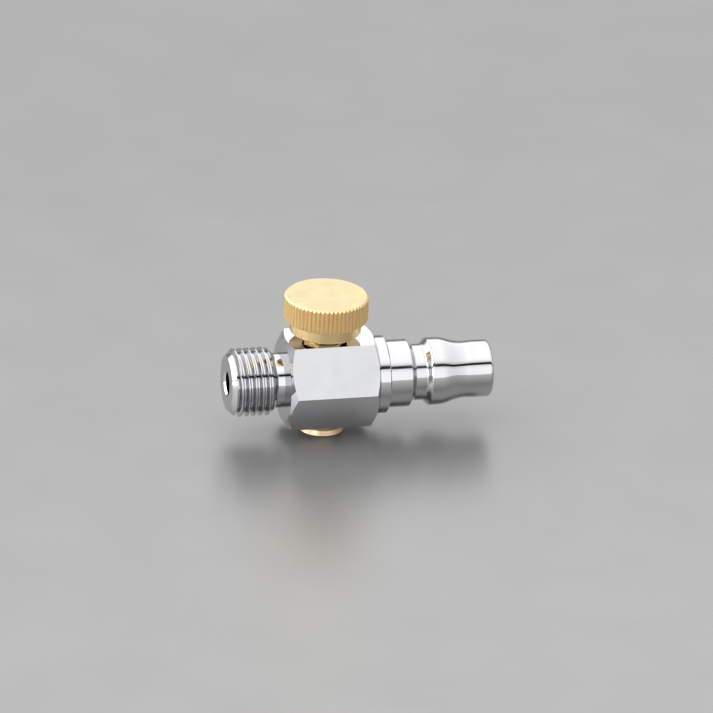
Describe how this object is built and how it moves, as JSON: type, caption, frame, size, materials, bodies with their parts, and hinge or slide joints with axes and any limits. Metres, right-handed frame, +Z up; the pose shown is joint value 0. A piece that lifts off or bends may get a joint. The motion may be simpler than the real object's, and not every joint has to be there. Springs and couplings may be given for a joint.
{
  "type": "needle valve",
  "caption": "Compact air-line needle valve: hexagonal body with a male pipe thread at one end, a quick-coupler plug at the other and a knurled brass metering knob on top.",
  "frame": {"origin": "crossing of the flow axis and the spindle axis, inside the hexagon", "axes": "+X along the flow axis towards the coupler plug, +Z up the spindle towards the knob, +Y to the back"},
  "size_m": [0.0513, 0.0196, 0.0278],
  "materials": {
    "chromed_body": "bright polished plating over brass",
    "plated_plug": "bright plated steel, finely turned",
    "seat_brass": "turned",
    "plug_brass": "turned, slightly toned",
    "washer_copper": "annealed copper",
    "gland_brass": "turned",
    "spindle_brass": "turned and lapped cone",
    "knob_brass": "bright turned face, rolled straight knurl",
    "seal_rubber": "matte",
    "backup_polymer": "waxy",
    "screw_steel": "black oxide"
  },
  "bodies": {
    "valve": {"valve_body": "chromed_body", "coupler_plug": "plated_plug", "plug_seal": "seal_rubber", "seat_ring": "seat_brass", "bottom_plug": "plug_brass", "bottom_washer": "washer_copper", "gland_nut": "gland_brass", "gland_seal": "seal_rubber"},
    "stem_seal": {"stem_o_ring": "seal_rubber", "backup_ring": "backup_polymer"},
    "stem": {"spindle": "spindle_brass", "knob": "knob_brass", "knob_set_screw": "screw_steel"}
  },
  "joints": [
    {"name": "stem_lift", "type": "slide", "parent": "valve", "child": "stem_seal", "axis": [0, 0, 1], "range_m": [-0.0006, 0.0016]},
    {"name": "knob_turn", "type": "hinge", "parent": "stem_seal", "child": "stem", "pos_m": [0, 0, 0.015], "axis": [0, 0, 1], "range_deg": [-432, 1152]}
  ],
  "couplings": [
    {"joint": "stem_lift", "follows": "knob_turn", "m_per_rad": 0.000079577}
  ]
}
